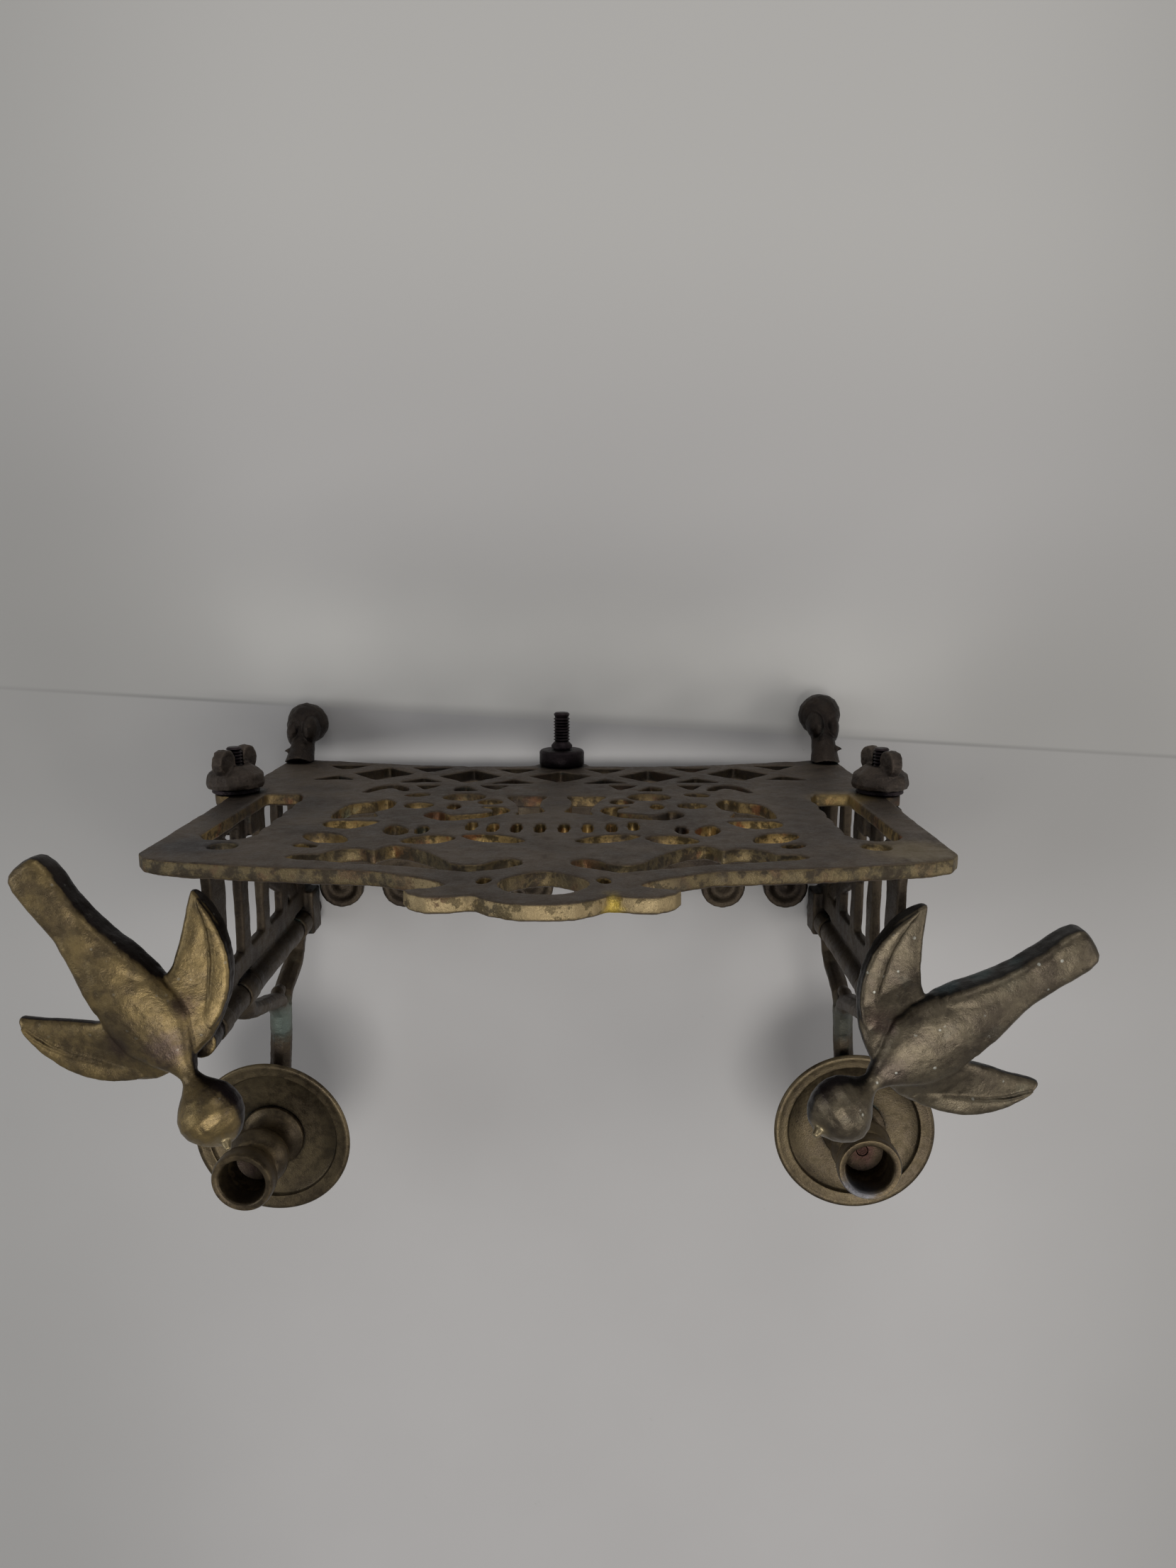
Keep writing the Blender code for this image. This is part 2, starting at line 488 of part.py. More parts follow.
def bird(side, mat):
    """A swallow seen from above: bar tail, swept wings, narrow neck and round head, drawn facing -Y."""
    half = [(5.5, 70.8), (7.6, 66), (7.4, 58), (7, 50), (7.6, 41), (10, 32), (13.5, 24), (17, 19.5), (24, 22),
            (31, 27.5), (36, 33.5), (38.6, 32.5), (39.6, 26), (39.4, 18), (36.6, 9.5), (31, 1.5), (25, -3.5),
            (17, -8), (9, -11), (4.4, -14.5), (3.3, -18)]
    outline = [(0, 72)] + half + [(0, -20)] + mirrored(half)
    scale = [(x * MM, y * MM) for x, y in outline]
    obj = sheet(scale, [], 7 * MM)
    for vert in obj.data.vertices:
        vert.co.z -= 0.2 * max(0, abs(vert.co.x) - 12 * MM)
    place(obj, Matrix.Translation((0, 0, BIRD_Z + 4.5 * MM)))
    back, head = ((0, 12, 5.4), (11.6, 30, 7)), ((0, -31, 16), (10.8, 12.4, 8.8))
    throat, tail = ((0, -18, 8.4), (4.6, 9.6, 5)), ((0, 52, 5), (6.4, 19, 5))
    for centre, size in (back, head, throat, tail):
        bm = bmesh.new()
        scale = Matrix.Diagonal((*(v * MM for v in size), 1))
        move = Matrix.Translation((centre[0] * MM, centre[1] * MM, BIRD_Z + centre[2] * MM))
        tip = Matrix.Rotation(math.radians(-38), 4, "X") if centre == throat[0] else Matrix()
        bmesh.ops.create_uvsphere(bm, u_segments=14, v_segments=8, radius=1, matrix=move @ tip @ scale)
        boolean(obj, [as_object("round", bm)], "UNION")
    beak = lathe([(0, 0), (2.6 * MM, 0), (0, 8 * MM)], 10)
    tilt = Matrix.Rotation(math.radians(80), 4, "X")
    place(beak, Matrix.Translation((0, -41 * MM, BIRD_Z + 16 * MM)) @ tilt)
    hub = lathe([(0, BIRD_Z - 8 * MM), (5.4 * MM, BIRD_Z - 8 * MM), (6 * MM, BIRD_Z + 4 * MM),
                 (0, BIRD_Z + 4 * MM)], 20)
    boolean(obj, [beak], "UNION")
    dx, dy = BIRD_SHIFT[side]
    place(obj, Matrix.Translation((dx * MM, dy * MM, 0)))
    boolean(obj, [hub], "UNION")
    bore = lathe([(0, 0.1), (PIN_R + GAP, 0.1), (PIN_R + GAP, 156.4 * MM), (0, 156.4 * MM)], 20)
    boolean(obj, [bore], "DIFFERENCE")
    pin = (SIDES[side] * PIN_X, PIN_Y, 0)
    place(obj, Matrix.Translation(pin) @ Matrix.Rotation(math.radians(BIRD_TURN[side]), 4, "Z"))
    return finish(obj, f"bird_{side}", mat, pin)


def stand_on_origin():
    """Moves every piece so that the origin is on the floor under the middle of the whole stand."""
    spots = [obj.location + v.co for obj in bpy.data.objects for v in obj.data.vertices]
    middle = [(min(s[k] for s in spots) + max(s[k] for s in spots)) / 2 for k in (0, 1)]
    for obj in bpy.data.objects:
        obj.location -= Vector((*middle, 0))


def main():
    clear_scene()
    bronze = material("aged_bronze", (0.16, 0.13, 0.09))
    brass = material("worn_brass", (0.36, 0.28, 0.13), rough=0.4)
    steel = material("dark_steel", (0.06, 0.055, 0.055), rough=0.55)
    back_plate(bronze)
    ledge(bronze)
    centre_stud(steel)
    centre_nut(steel)
    for side in SIDES:
        side_panel(side, bronze)
        rear_foot(side, bronze)
        front_foot(side, bronze)
        plate_stud(side, steel)
        washer(side, steel)
        wing_nut(side, bronze)
        hinge_pin(side, steel)
        candle_bracket(side, bronze)
        drip_pan(side, brass)
        candle_nozzle(side, brass)
        pan_screw(side, steel)
        bird(side, brass)
    stand_on_origin()


main()
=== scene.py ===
from math import cos, pi, radians, sin

import bpy
from mathutils import Matrix, Vector


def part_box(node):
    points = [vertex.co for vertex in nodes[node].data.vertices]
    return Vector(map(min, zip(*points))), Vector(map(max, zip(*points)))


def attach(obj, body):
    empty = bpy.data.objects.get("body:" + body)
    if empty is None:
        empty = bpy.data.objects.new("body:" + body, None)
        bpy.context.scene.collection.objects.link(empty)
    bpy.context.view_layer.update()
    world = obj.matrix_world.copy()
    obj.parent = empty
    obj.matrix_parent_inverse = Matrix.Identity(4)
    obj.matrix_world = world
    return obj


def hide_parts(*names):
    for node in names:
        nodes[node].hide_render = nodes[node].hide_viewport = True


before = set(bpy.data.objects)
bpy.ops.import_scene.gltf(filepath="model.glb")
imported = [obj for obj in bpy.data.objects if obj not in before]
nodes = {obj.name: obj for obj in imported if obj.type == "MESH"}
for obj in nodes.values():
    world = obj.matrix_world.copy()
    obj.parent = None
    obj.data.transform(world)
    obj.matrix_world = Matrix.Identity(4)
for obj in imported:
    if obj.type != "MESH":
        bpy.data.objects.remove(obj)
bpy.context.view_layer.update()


# ---- View and light -------------------------------------------------------------------------
# The stand is looked down on from above the back of its plate, so the crest is nearest the eye.
# A broad soft panel overhead and three weaker ones around it light it like a pale tent. The
# place called home is on the floor under the middle of the plate's back face.

low, high = (Vector(v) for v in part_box("back_plate"))
home = Vector(((low.x + high.x) / 2, high.y, 0))
bpy.ops.object.select_all(action="DESELECT")
bpy.ops.object.camera_add(location=home + Vector((0.0132, 0.0826, 0.5272)),
                          rotation=(radians(-10.42), radians(0.2), radians(0.05)))
camera = bpy.context.object
camera.name = "view_camera"
camera.data.sensor_fit = "VERTICAL"
camera.data.sensor_height = 36
camera.data.lens = 26.04
camera.data.clip_start = 0.01
bpy.context.scene.camera = camera
bpy.context.scene.view_settings.view_transform = "Standard"


def soft_panel(name, place, aim, size, power, colour=(1, 1, 1)):
    bpy.ops.object.light_add(type="AREA", location=place)
    panel = bpy.context.object
    panel.name = name
    panel.rotation_euler = (Vector(aim) - Vector(place)).to_track_quat("-Z", "Y").to_euler()
    panel.data.shape = "RECTANGLE"
    panel.data.size, panel.data.size_y = size
    panel.data.energy = power
    panel.data.color = colour


soft_panel("overhead_panel", (0.1, -0.35, 1.5), (0, -0.06, 0), (0.9, 0.6), 8.6, (1, 0.985, 0.96))
soft_panel("left_panel", (-1.2, 0.1, 0.7), (0, -0.05, 0.08), (0.8, 0.6), 3.2, (0.95, 0.98, 1))
soft_panel("right_panel", (1.2, -0.2, 0.7), (0, -0.05, 0.08), (0.8, 0.6), 3.2, (1, 0.97, 0.93))
soft_panel("back_panel", (0.2, 1.3, 0.9), (0, 0, 0.05), (1.0, 0.6), 3.4)
world = bpy.context.scene.world or bpy.data.worlds.new("tent")
bpy.context.scene.world = world
world.use_nodes = True
world.node_tree.nodes["Background"].inputs["Color"].default_value = (0.95, 0.96, 1, 1)
world.node_tree.nodes["Background"].inputs["Strength"].default_value = 0.19


# ---- Floor ----------------------------------------------------------------------------------
# A pale board under the stand, faintly scuffed, with a second board butted up behind it. It is
# stage only: one flat sheet whose paint carries the joint, a painted strip of light and a painted
# shadow band beyond the joint, and painted shade towards both sides and in two broad pools.

class Wire:
    """A node's output that takes part in sums, and from which more nodes are drawn."""

    def __init__(self, tree, socket=None):
        self.tree, self.socket = tree, socket

    def node(self, kind, settings=None, inputs=None, out=0):
        made = self.tree.nodes.new("ShaderNode" + kind)
        for key, value in (settings or {}).items():
            if key == "stops":
                ramp = made.color_ramp
                ramp.elements[0].position, ramp.elements[0].color = value[0]
                ramp.elements[-1].position, ramp.elements[-1].color = value[-1]
                for at, colour in value[1:-1]:
                    ramp.elements.new(at).color = colour
            else:
                setattr(made, key, value)
        for key, value in (inputs or {}).items():
            if isinstance(value, Wire):
                self.tree.links.new(value.socket, made.inputs[key])
            else:
                made.inputs[key].default_value = value
        return Wire(self.tree, made.outputs[out])

    def sum(self, operation, a, b):
        return self.node("Math", {"operation": operation}, {0: a, 1: b})

    def __add__(self, other):
        return self.sum("ADD", self, other)

    def __sub__(self, other):
        return self.sum("SUBTRACT", self, other)

    def __rsub__(self, other):
        return self.sum("SUBTRACT", other, self)

    def __mul__(self, other):
        return self.sum("MULTIPLY", self, other)

    def __gt__(self, other):
        return self.sum("GREATER_THAN", self, other)

    __radd__, __rmul__ = __add__, __mul__


def new_finish(name):
    """(material, starting wire, shader) of an empty finish."""
    finish = bpy.data.materials.new(name)
    finish.use_nodes = True
    tree = finish.node_tree
    return finish, Wire(tree), tree.nodes["Principled BSDF"]


def fade(value, low, high, start=0.0, end=1.0):
    """Eases from start to end as value goes from low to high."""
    return value.node("MapRange", {"interpolation_type": "SMOOTHSTEP"},
                      {"Value": value, "From Min": low, "From Max": high, "To Min": start, "To Max": end})


def blend(a, b, share):
    """Colour a turning into colour b as share goes from 0 to 1."""
    made = share.tree.nodes.new("ShaderNodeMix")
    made.data_type = "RGBA"
    for socket, value in ((made.inputs[0], share), (made.inputs[6], a), (made.inputs[7], b)):
        if isinstance(value, Wire):
            share.tree.links.new(value.socket, socket)
        else:
            socket.default_value = (*value, 1) if len(value) == 3 else value
    return Wire(share.tree, made.outputs[2])


def noise(place, size, detail=4, rough=0.55):
    """Cloudy noise whose lumps are about size metres across."""
    return place.node("TexNoise", None, {"Vector": place, "Scale": 1 / size, "Detail": detail,
                                         "Roughness": rough})


def distance(place, spot):
    """How far a point of the surface is from a spot that is given from home."""
    return place.node("VectorMath", {"operation": "DISTANCE"}, {0: place, 1: home + Vector(spot)}, 1)


def parts_of(vector):
    """The x, y and z wires of a vector wire."""
    split = vector.tree.nodes.new("ShaderNodeSeparateXYZ")
    vector.tree.links.new(vector.socket, split.inputs[0])
    return [Wire(vector.tree, out) for out in split.outputs]


bpy.ops.mesh.primitive_plane_add(size=6, location=(0, 0, -0.0002))
floor = bpy.context.object
floor.name = "floor"
paint, wire, shader = new_finish("pale_board")
place = wire.node("TexCoord", out=3)
along_x, along_y = parts_of(place)[:2]
across, away = along_x - home.x, along_y - home.y
joint = away + across * 0.058 - 0.0155
behind = fade(joint, -0.0005, 0.0005)
line = fade(joint, -0.0012, 0.0, 0, 1) * fade(joint, 0.0, 0.0018, 1, 0)
edges = fade(across.node("Math", {"operation": "ABSOLUTE"}, {0: across}), 0.1, 0.2)
# Painted shadow: a darker band across the back board, from about 3 to 24 cm behind the joint.
band = fade(joint, 0.03, 0.09) * fade(joint, 0.12, 0.24, 1, 0)
colour = blend((0.575, 0.56, 0.55), (0.535, 0.52, 0.51), noise(place, 0.09, 3))
colour = blend(colour, (0.59, 0.575, 0.55), behind)
# Painted light: a bright strip on the back board just behind the joint, kept off the sides.
painted_light_strip = fade(joint, 0.0, 0.006) * fade(joint, 0.012, 0.07, 1, 0) * (1 - edges)
colour = blend(colour, (0.78, 0.76, 0.72), painted_light_strip)
colour = blend(colour, (0.47, 0.455, 0.45), band * 0.55)
colour = blend(colour, (0.22, 0.22, 0.21), line * edges * 0.8)
# Painted shade: the floor grows darker away from the middle towards both sides.
aside = (across - 0.03).node("Math", {"operation": "ABSOLUTE"}, {0: across - 0.03})
colour = blend(colour, (0.33, 0.325, 0.31), fade(aside, 0.13, 0.34) * 0.5)
# Painted shade: two broad darker pools on the floor, to the left and to the right of the stand.
for spot, reach, strength in (((-0.27, 0.04, 0), 0.17, 0.75), ((0.24, 0.0, 0), 0.14, 0.7)):
    colour = blend(colour, (0.35, 0.34, 0.325), fade(distance(place, spot), 0.02, reach, 1, 0) * strength)
scuffs = noise(place, 0.012, 7, 0.7)
scuffs = fade(scuffs, 0.66, 0.72) * fade(noise(place, 0.06, 2), 0.5, 0.62) * (1 - behind)
colour = blend(colour, (0.36, 0.35, 0.33), scuffs * 0.4)
wire.tree.links.new(colour.socket, shader.inputs["Base Color"])
shader.inputs["Roughness"].default_value = 0.5
shader.inputs["Specular IOR Level"].default_value = 0.25
floor.data.materials.append(paint)


# ---- Back plate -----------------------------------------------------------------------------
# The big pierced casting that the book leans on. Sand-cast brass gone dull grey-brown, with
# ochre and rust left in the rough walls of its openings. It bolts to both side panels.

def patina(name, worn, mid, deep, rough=(0.36, 0.62), green=0.0, walls=None, metal=0.8, pits=1.0,
           hollow=0.005, wear=0.5, blotch=0.024, specks=0.0, stains_and_painted_light=(), flank_shade=None):
    """A weathered metal finish: worn colour on the high parts, deep colour in the hollows and near other
    parts, which is partly dark patina and partly painted shade.

    walls colours the sawn-looking sides of the plate's openings, and the lower walls also get painted
    shade. The flank colour is painted shade on the steep flanks of a bird. Each patch in the stain
    list is (place from home, radius, colour, strength) and is a stain, a patch of painted shade or a
    painted highlight.
    """
    finish, wire, shader = new_finish(name)
    place = wire.node("TexCoord", out=3)
    cloud = noise(place, blotch, 5, 0.6)
    mottle = noise(place, 0.0042, 6, 0.65)
    grit = noise(place, 0.0008, 3, 0.7)
    shade = fade(cloud * 0.65 + mottle * 0.35, 0.38, 0.62)
    colour = blend(mid, worn, shade)
    colour = blend(colour, tuple(0.55 * v for v in mid), fade(mottle, 0.56, 0.7) * 0.45)
    rust = noise(place, 0.009, 4, 0.6)
    tall = parts_of(place)[2]
    front, upward = parts_of(wire.node("TexCoord", out=1))[1:]
    edge = wire.node("AmbientOcclusion", {"inside": True, "samples": 6}, {"Distance": 0.0016}, 1)
    colour = blend(colour, tuple(min(1, 1.7 * v) for v in worn),
                   fade(edge, 0.5, 0.95, 1, 0) * fade(mottle, 0.36, 0.56) * wear)
    # Deep colour where other surfaces lie close: dark patina in the hollows, and partly painted shade in
    # recesses and between parts.
    cover = wire.node("AmbientOcclusion", {"samples": 8}, {"Distance": hollow}, 1)
    colour = blend(colour, deep, fade(cover + (mottle - 0.5) * 0.35, 0.45, 0.92, 0.92, 0))
    # Painted shade: steep flanks that face sideways turn to the flank colour.
    if flank_shade:
        colour = blend(colour, flank_shade, fade(upward + (mottle - 0.5) * 0.4, 0.25, 0.55, 0.97, 0))
    if walls:
        ochre, orange = walls
        side = fade(front.node("Math", {"operation": "ABSOLUTE"}, {0: front}), 0.3, 0.75, 1, 0)
        # Painted shade: the opening walls turn to the deep colour lower down on the plate.
        low_wall_shade = side * fade(tall, 0.05, 0.13, 0.9, 0.2) * fade(tall, 0.165, 0.19, 1, 0)
        colour = blend(colour, deep, low_wall_shade)
        cast = blend(ochre, orange, fade(rust, 0.52, 0.62))
        burnt = fade(mottle + (cloud - 0.5) * 0.5, 0.46, 0.6) * 0.9
        cast = blend(cast, tuple(0.16 * v for v in ochre), burnt)
        share = side * fade(cloud, 0.34, 0.5) * fade(cover, 0.1, 0.5, 0.35, 1)
        colour = blend(colour, cast, share * fade(tall, 0.07, 0.14, 0.06, 0.95))
        rim = side * fade(tall, 0.165, 0.19) * fade(cover, 0.75, 0.95)
        olive = blend((0.095, 0.078, 0.048), (0.05, 0.04, 0.03), fade(mottle, 0.45, 0.6))
        colour = blend(colour, olive, rim * 0.8)
        bare = rim * fade(tall, 0.217, 0.226) * fade(mottle + (cloud - 0.5) * 0.6, 0.44, 0.5)
        colour = blend(colour, (0.42, 0.32, 0.17), bare * 0.75)
    for spot, radius, tint, strength in stains_and_painted_light:
        patch = fade(distance(place, spot) + mottle * radius * 0.9, radius * 0.75, radius * 1.45, 1, 0)
        colour = blend(colour, tint, patch * strength)
    if green:
        tarnish = fade(noise(place, 0.011, 6, 0.7), 0.56, 0.68) * fade(cover, 0.5, 0.98, 1, 0.1)
        colour = blend(colour, (0.14, 0.27, 0.24), tarnish * green)
    if specks:
        dots = place.node("TexVoronoi", None, {"Vector": place, "Scale": 1 / 0.0042}, 0)
        dots = fade(dots, 0.09, 0.17, 1, 0) * fade(rust, 0.5, 0.6)
        colour = blend(colour, (0.5, 0.5, 0.44), dots * specks)
    wire.tree.links.new(colour.socket, shader.inputs["Base Color"])
    dull = fade(mottle * 0.7 + grit * 0.3, 0.35, 0.65, rough[0], rough[1])
    wire.tree.links.new(dull.socket, shader.inputs["Roughness"])
    shader.inputs["Metallic"].default_value = metal
    height = mottle * 0.6 + grit * 0.4 + cloud * 0.5
    bump = wire.node("Bump", None, {"Strength": min(1, 0.7 * pits), "Distance": 0.0008, "Height": height})
    wire.tree.links.new(bump.socket, shader.inputs["Normal"])
    return finish


def dress(piece, finish, body, slot, *stands_for):
    """Gives a finished piece its material and ties it to its body."""
    piece.data.materials.clear()
    piece.data.materials.append(finish)
    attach(piece, body)
    if stands_for:
        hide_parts(*stands_for)


def pick(piece, *others):
    """Selects these pieces and nothing else, with the first one active."""
    bpy.ops.object.select_all(action="DESELECT")
    for each in (piece, *others):
        each.select_set(True)
    bpy.context.view_layer.objects.active = piece


def apply_modifier(piece, kind, **settings):
    pick(piece)
    modifier = piece.modifiers.new(kind.title(), kind)
    for key, value in settings.items():
        setattr(modifier, key, value)
    bpy.ops.object.modifier_apply(modifier=modifier.name)


def fuse(piece, voxel, soften=2, uneven=0.0, lump=0.008, keep=1.0):
    """Melts a rough assembly of shapes into one cast skin with soft edges and a sandy unevenness."""
    apply_modifier(piece, "REMESH", mode="VOXEL", voxel_size=voxel)
    if soften:
        apply_modifier(piece, "SMOOTH", factor=0.5, iterations=soften)
    if uneven:
        sand = bpy.data.textures.get(f"sand_{lump}") or bpy.data.textures.new(f"sand_{lump}", "CLOUDS")
        sand.noise_scale = lump
        sand.noise_depth = 3
        apply_modifier(piece, "DISPLACE", texture=sand, texture_coords="LOCAL", strength=uneven,
                       mid_level=0.5)
    if keep < 1:
        apply_modifier(piece, "DECIMATE", ratio=keep)
    bpy.ops.object.shade_smooth()


def casting(node, name, voxel, **settings):
    """A cast copy of a CAD node, with its loose triangles merged and its edges softened."""
    piece = nodes[node].copy()
    piece.data = nodes[node].data.copy()
    piece.name = piece.data.name = name
    piece.parent = None
    bpy.context.scene.collection.objects.link(piece)
    piece.matrix_world = Matrix.Identity(4)
    pick(piece)
    bpy.ops.object.mode_set(mode="EDIT")
    bpy.ops.mesh.select_all(action="SELECT")
    bpy.ops.mesh.remove_doubles(threshold=0.00001)
    bpy.ops.object.mode_set(mode="OBJECT")
    fuse(piece, voxel, **settings)
    return piece


# The plate's stain list holds verdigris, yellow, ochre and pale brass stains, and three dark patches beside
# the side panels that are painted shade.
plate_finish = patina(
    "plate_patina", (0.125, 0.096, 0.07), (0.07, 0.053, 0.04), (0.01, 0.007, 0.005), rough=(0.4, 0.62),
    green=0.2, walls=((0.34, 0.23, 0.085), (0.25, 0.1, 0.035)), wear=0.7,
    stains_and_painted_light=[((-0.07, -0.004, 0.124), 0.008, (0.17, 0.42, 0.36), 0.95),
            ((0.0185, -0.005, 0.2375), 0.006, (0.5, 0.36, 0.05), 0.85),
            ((-0.104, -0.003, 0.13), 0.03, (0.03, 0.023, 0.019), 0.65),
            ((0.104, -0.003, 0.13), 0.026, (0.045, 0.033, 0.022), 0.5),
            ((0.108, 0, 0.106), 0.016, (0.38, 0.27, 0.1), 0.5),
            ((0.112, 0, 0.19), 0.02, (0.33, 0.26, 0.14), 0.45),
            ((-0.11, 0, 0.185), 0.017, (0.035, 0.04, 0.05), 0.6)])
plate = casting("back_plate", "pierced_plate", 0.0008, soften=2, uneven=0.0006, lump=0.009, keep=0.48)
dress(plate, plate_finish, "stand", "aged_bronze", "back_plate")


# ---- Side panels ----------------------------------------------------------------------------
# A ladder-like cast frame with a slanting strap at each side of the book space. Darker than the
# plate, with brassy rubs along its bars. The plate's stud passes through a lug at its back.

frame_finish = patina("panel_patina", (0.085, 0.064, 0.042), (0.038, 0.028, 0.021), (0.006, 0.005, 0.004),
                      rough=(0.4, 0.62), green=0.15, wear=0.7, hollow=0.008)
for hand in ("left", "right"):
    panel = casting(f"side_panel_{hand}", f"panel_{hand}", 0.0007, soften=3, uneven=0.0007, lump=0.01,
                    keep=0.6)
    dress(panel, frame_finish, "stand", "aged_bronze", f"side_panel_{hand}")


# ---- Ledge ----------------------------------------------------------------------------------
# The shelf for the book's foot, a cast strip whose front edge is a row of turned roundels. A
# second strip behind its openings narrows them.

ledge = casting("ledge", "book_ledge", 0.0007, soften=2, uneven=0.0004, keep=0.6)
low, high = (Vector(v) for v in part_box("ledge"))
bpy.ops.object.select_all(action="DESELECT")
bpy.ops.mesh.primitive_cube_add(size=1, location=(home.x, home.y - 0.0255, low.z + 0.004),
                                scale=(0.21, 0.011, 0.004))
pick(ledge, bpy.context.object)
bpy.ops.object.join()
fuse(ledge, 0.0007, soften=1)
dress(ledge, frame_finish, "stand", "aged_bronze", "ledge")


# ---- Feet -----------------------------------------------------------------------------------
# Two ball feet on tapering necks run down and back from the plate's corners, with rough spurs
# left on the necks by the mould. Two small turned feet stand under the panels. All are black.

dark_finish = patina("foot_patina", (0.05, 0.037, 0.028), (0.02, 0.015, 0.013), (0.005, 0.004, 0.004),
                     rough=(0.38, 0.6), wear=0.9, green=0.15)
spurs = ((0.25, 0.42, 0.0056, 1), (0.38, 0.34, 0.0046, 1), (0.12, 0.56, 0.0052, -0.8))
for hand in ("left", "right"):
    foot = casting(f"rear_foot_{hand}", f"ball_foot_{hand}", 0.0004, soften=0)
    low, high = (Vector(v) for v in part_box(f"rear_foot_{hand}"))
    out = 0.0045 if hand == "right" else -0.0045
    for reach, rise, radius, lean in spurs:
        bpy.ops.object.select_all(action="DESELECT")
        bpy.ops.mesh.primitive_uv_sphere_add(
            segments=20, ring_count=12, radius=radius, scale=(0.7, 1.2, 1.3),
            location=((low.x + high.x) / 2 + out * lean,
                      low.y + (high.y - low.y) * (1 - reach) * 0.62, low.z + (high.z - low.z) * rise))
        bpy.ops.object.transform_apply(location=True, rotation=True, scale=True)
        pick(foot, bpy.context.object)
        bpy.ops.object.join()
    fuse(foot, 0.0004, soften=5, uneven=0.0011, lump=0.006, keep=0.6)
    dress(foot, dark_finish, "stand", "aged_bronze", f"rear_foot_{hand}")
    foot = casting(f"front_foot_{hand}", f"small_foot_{hand}", 0.0003, soften=2, keep=0.6)
    dress(foot, dark_finish, "stand", "aged_bronze", f"front_foot_{hand}")


# ---- Studs and nuts -------------------------------------------------------------------------
# Steel studs, threaded to their ends, hold the plate to its panels, and one at the middle holds
# the ledge. Wing nuts close the outer two and a round nut the middle one. Purplish black steel.

steel_finish = patina("stud_steel", (0.035, 0.026, 0.028), (0.014, 0.01, 0.011), (0.004, 0.003, 0.004),
                      rough=(0.35, 0.55), wear=0.8, metal=0.9)


def turned(name, profile, steps=64, at=(0, 0, 0), lying=False):
    """A closed (radius, height) profile spun into a solid of revolution with soft shading."""
    bpy.ops.object.select_all(action="DESELECT")
    bpy.ops.mesh.primitive_circle_add(vertices=len(profile), fill_type="NOTHING")
    piece = bpy.context.object
    piece.name = piece.data.name = name
    for vert, (r, h) in zip(piece.data.vertices, profile):
        vert.co = (r, 0, h)
    bpy.ops.object.mode_set(mode="EDIT")
    bpy.ops.mesh.select_all(action="SELECT")
    bpy.ops.mesh.spin(steps=steps, angle=2 * pi, center=(0, 0, 0), axis=(0, 0, 1))
    bpy.ops.mesh.remove_doubles(threshold=0.00002)
    bpy.ops.mesh.normals_make_consistent(inside=False)
    bpy.ops.object.mode_set(mode="OBJECT")
    piece.data.transform(Matrix.Translation(at) @ Matrix.Rotation(-pi / 2 if lying else 0, 4, "X"))
    bpy.ops.object.shade_smooth_by_angle(angle=radians(42))
    return piece


def threaded(name, at, first, last, radius, pitch=0.00125):
    """A stud along +Y with V-shaped thread between two heights and a small chamfer at its tip."""
    profile, h = [(0, first)], first
    while h < last - pitch:
        profile += [(radius, h), (radius - 0.55 * pitch, h + pitch / 2)]
        h += pitch
    profile += [(radius, h), (radius * 0.8, last), (0, last)]
    return turned(name, profile, 48, at, lying=True)


nut_finish = patina("nut_patina", (0.11, 0.085, 0.066), (0.05, 0.039, 0.032), (0.008, 0.006, 0.006),
                    rough=(0.4, 0.62), wear=0.8, hollow=0.004)
for hand in ("left", "right"):
    low, high = (Vector(v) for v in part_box(f"plate_stud_{hand}"))
    at = ((low.x + high.x) / 2, home.y, (low.z + high.z) / 2)
    stud = threaded(f"threaded_stud_{hand}", at, low.y - home.y, high.y - home.y, 0.003)
    dress(stud, steel_finish, "stand", "dark_steel", f"plate_stud_{hand}")
    ring = turned(f"flat_washer_{hand}", [
        (0.0034, 0.0003), (0.0088, 0.0003), (0.009, 0.0006), (0.0088, 0.0017), (0.0034, 0.0018),
    ], 48, at, lying=True)
    dress(ring, steel_finish, "stand", "dark_steel", f"washer_{hand}")
    nut = casting(f"wing_nut_{hand}", f"winged_nut_{hand}", 0.00035, soften=5, uneven=0.0009, lump=0.004)
    dress(nut, nut_finish, f"{hand}_wing_nut", "aged_bronze", f"wing_nut_{hand}")

low, high = (Vector(v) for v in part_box("centre_stud"))
at = (home.x, home.y, (low.z + high.z) / 2)
low, high = low - home, high - home
profile = [(0, low.y), (0.007, low.y), (0.0075, low.y + 0.0005), (0.0075, -0.0055), (0.0035, -0.0053),
           (0.0035, 0.0077), (0.0046, 0.008), (0.0046, 0.0092), (0.0037, 0.0102)]
h = 0.0104
while h < high.y - 0.0016:
    profile += [(0.0036, h), (0.0029, h + 0.00065)]
    h += 0.0013
profile += [(0.0035, high.y - 0.0007), (0.0028, high.y), (0, high.y)]
centre = turned("centre_screw", profile, 48, at, lying=True)
dress(centre, steel_finish, "stand", "dark_steel", "centre_stud")
nut = turned("round_nut_turned", [(0.0038, 0.0003), (0.0094, 0.0003), (0.0098, 0.001), (0.0098, 0.0062),
                                  (0.0093, 0.007), (0.0085, 0.0073), (0.0038, 0.0073)], 24, at, lying=True)
dress(nut, steel_finish, "round_nut", "dark_steel", "centre_nut")


# ---- Hinge pins and candle brackets ---------------------------------------------------------
# A steel rod stands at the front of each panel. A forked cast bracket swings on it and carries
# the drip pan; a pale green bloom lies on its stem just below the fork.

